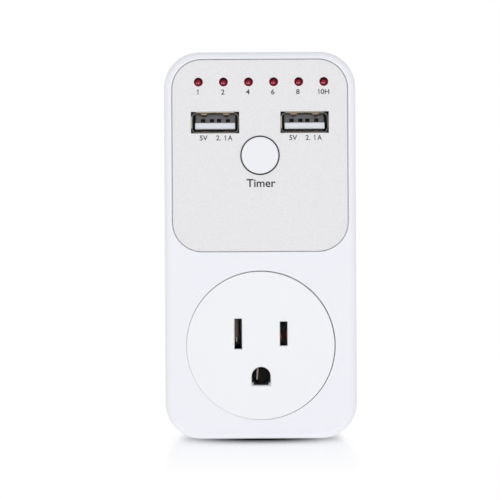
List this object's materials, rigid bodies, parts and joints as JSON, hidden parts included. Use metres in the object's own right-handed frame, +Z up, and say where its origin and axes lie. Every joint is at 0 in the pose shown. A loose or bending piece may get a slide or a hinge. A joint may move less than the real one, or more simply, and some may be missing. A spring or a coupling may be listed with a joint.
{
  "type": "plug-in timer switch",
  "caption": "Plug-in countdown timer switch: rounded white body with a switched outlet, USB charging ports, hour lamps, a push button on a silver panel and a three-pin plug on the back.",
  "frame": {"origin": "centre of the flat bottom end, halfway through the body's depth", "axes": "+X to the user's right, +Y from the front face to the wall, +Z up"},
  "size_m": [0.0536, 0.0558, 0.108],
  "materials": {
    "white_shell": "fine satin moulded",
    "white_insert": "satin moulded",
    "silver_panel": "fine-grained silver lacquer on a thin plate",
    "red_lamp": "tinted clear",
    "nickel": "nickel-plated sheet",
    "port_plastic": "moulded",
    "gold_contact": "gold flash",
    "brass_contact": "stamped strip",
    "plug_brass": "drawn, tumbled",
    "insulator": "moulded phenolic",
    "screw_steel": "zinc-plated",
    "tin_plate": "tinned",
    "black_plastic": "moulded",
    "relay_blue": "moulded",
    "iron": "nickel-flashed soft iron",
    "copper_winding": "enamelled wire",
    "ferrite": "sintered",
    "winding_tape": "wound tape",
    "board_laminate": "solder mask",
    "can_sleeve": "sleeve",
    "varistor_coat": "dipped",
    "fuse_body": "glazed",
    "wire_white": "insulated",
    "wire_black": "insulated",
    "wire_red": "insulated"
  },
  "bodies": {
    "housing": {"board_screws": "screw_steel", "bulk_capacitor": "can_sleeve", "carrier_screws": "screw_steel", "contact_carrier": "insulator", "contact_cover": "insulator", "control_board": "board_laminate", "control_chips": "black_plastic", "front_housing": "white_shell", "front_panel": "silver_panel", "fuse": "fuse_body", "ground_contact": "brass_contact", "ground_pin": "plug_brass", "header_pins": "gold_contact", "header_strip": "black_plastic", "housing_screws": "screw_steel", "lamp_10h": "red_lamp", "lamp_1h": "red_lamp", "lamp_2h": "red_lamp", "lamp_4h": "red_lamp", "lamp_6h": "red_lamp", "lamp_8h": "red_lamp", "lamp_leads": "tin_plate", "lamp_resistors": "black_plastic", "lamp_spacer": "port_plastic", "line_blade": "plug_brass", "line_contact": "brass_contact", "line_wire": "wire_black", "neutral_blade": "plug_brass", "neutral_contact": "brass_contact", "neutral_wire": "wire_white", "outlet_face": "white_insert", "output_capacitors": "can_sleeve", "power_board": "board_laminate", "power_chips": "black_plastic", "rear_housing": "white_shell", "relay_base": "black_plastic", "relay_bobbin": "port_plastic", "relay_coil": "copper_winding", "relay_cover": "relay_blue", "relay_fixed_contact": "brass_contact", "relay_yoke": "iron", "switched_wire": "wire_red", "tact_base": "black_plastic", "tact_cover": "tin_plate", "tact_dome": "tin_plate", "tact_terminals": "tin_plate", "transformer_bobbin": "black_plastic", "transformer_core": "ferrite", "transformer_winding": "winding_tape", "usb_left_contacts": "gold_contact", "usb_left_shell": "nickel", "usb_left_tongue": "port_plastic", "usb_right_contacts": "gold_contact", "usb_right_shell": "nickel", "usb_right_tongue": "port_plastic", "varistor": "varistor_coat"},
    "button": {"timer_button": "white_insert"},
    "plunger": {"tact_plunger": "black_plastic"},
    "armature": {"relay_armature": "iron", "relay_leaf": "brass_contact"}
  },
  "joints": [
    {"name": "button_press", "type": "slide", "parent": "housing", "child": "button", "axis": [0, 1, 0], "range_m": [0, 0.0003], "stiffness_N_per_m": 800, "springref_m": -0.0005},
    {"name": "plunger_press", "type": "slide", "parent": "housing", "child": "plunger", "axis": [0, 1, 0], "range_m": [0, 0.0003]},
    {"name": "relay_armature_swing", "type": "hinge", "parent": "housing", "child": "armature", "pos_m": [-0.004, -0.0008, 0.0634], "axis": [0, 0, -1], "range_deg": [0, 3], "stiffness_Nm_per_rad": 0.02, "springref_deg": -5.16}
  ],
  "couplings": [
    {"joint": "plunger_press", "follows": "button_press", "ratio": 1}
  ]
}
